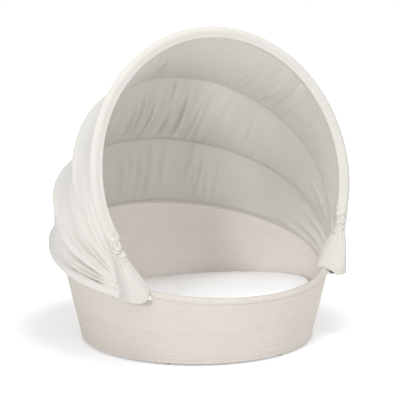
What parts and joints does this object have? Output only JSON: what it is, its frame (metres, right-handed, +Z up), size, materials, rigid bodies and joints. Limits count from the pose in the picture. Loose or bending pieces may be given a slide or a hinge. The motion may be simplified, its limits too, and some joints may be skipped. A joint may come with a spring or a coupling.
{
  "type": "outdoor daybed with canopy",
  "caption": "Round woven tub daybed with a seat cushion and a lined fabric canopy on pivoting hoops that folds back over the rim.",
  "frame": {"origin": "on the floor, under the middle of the whole daybed's bounding box", "axes": "+Z up, -Y towards the open front of the seat, +X towards the right hand of someone facing the back from the front"},
  "size_m": [1.7662, 1.7096, 1.878],
  "materials": {
    "wicker": "fine woven round synthetic strand, pale beige with a pinkish cast",
    "frame": "powder coated tube",
    "hoops": "satin tube with flattened ends",
    "slats": "oiled hardwood slats",
    "glides": "beige moulded plastic",
    "bolts": "stainless",
    "spacers": "natural nylon",
    "cushion": "white woven outdoor fabric over foam",
    "canopy_cover": "cream outdoor canvas",
    "canopy_lining": "warm grey beige gathered lining"
  },
  "bodies": {
    "tub": {"outer_weave": "wicker", "inner_weave": "wicker", "rim_braid": "wicker", "base_ring": "frame", "rim_tube": "frame", "upright_1": "frame", "upright_2": "frame", "upright_3": "frame", "upright_4": "frame", "upright_5": "frame", "upright_6": "frame", "upright_7": "frame", "upright_8": "frame", "deck_ring": "frame", "deck_slat_1": "slats", "deck_slat_2": "slats", "deck_slat_3": "slats", "deck_slat_4": "slats", "deck_slat_5": "slats", "deck_slat_6": "slats", "deck_slat_7": "slats", "foot_1": "glides", "foot_2": "glides", "foot_3": "glides", "foot_4": "glides", "foot_5": "glides", "foot_6": "glides", "seat_cushion": "cushion", "hinge_bracket_right": "frame", "hinge_bracket_left": "frame", "pivot_bolt_right": "bolts", "pivot_bolt_left": "bolts", "hinge_spacer_right_1": "spacers", "hinge_spacer_right_2": "spacers", "hinge_spacer_left_1": "spacers", "hinge_spacer_left_2": "spacers", "rear_rail": "frame", "rail_clip_1": "glides", "rail_clip_2": "glides", "rail_clip_3": "glides", "rear_skirt": "canopy_cover", "hinge_boot_right": "canopy_cover", "hinge_boot_left": "canopy_cover"},
    "rear_hoop_body": {"rear_hoop": "hoops", "cover_rear": "canopy_cover", "lining_rear": "canopy_lining"},
    "middle_hoop_body": {"middle_hoop": "hoops", "cover_middle": "canopy_cover", "lining_middle": "canopy_lining"},
    "front_hoop_body": {"front_hoop": "hoops", "front_sleeve": "canopy_cover", "cover_front": "canopy_cover", "lining_front": "canopy_lining"}
  },
  "joints": [
    {"name": "rear_hoop_fold", "type": "hinge", "parent": "tub", "child": "rear_hoop_body", "pos_m": [0, -0.55072, 0.44091], "axis": [-1, 0, 0], "range_deg": [0, 16], "deforming": ["cover_rear", "lining_rear", "hinge_boot_right", "hinge_boot_left"]},
    {"name": "middle_hoop_fold", "type": "hinge", "parent": "rear_hoop_body", "child": "middle_hoop_body", "pos_m": [0, -0.55072, 0.44091], "axis": [-1, 0, 0], "range_deg": [0, 19.2], "deforming": ["cover_middle", "lining_middle"]},
    {"name": "front_hoop_fold", "type": "hinge", "parent": "middle_hoop_body", "child": "front_hoop_body", "pos_m": [0, -0.55072, 0.44091], "axis": [-1, 0, 0], "range_deg": [0, 16.4], "deforming": ["cover_front", "lining_front", "front_sleeve"]}
  ],
  "couplings": [
    {"joint": "middle_hoop_fold", "follows": "rear_hoop_fold", "ratio": 1.2},
    {"joint": "front_hoop_fold", "follows": "rear_hoop_fold", "ratio": 1.025}
  ]
}
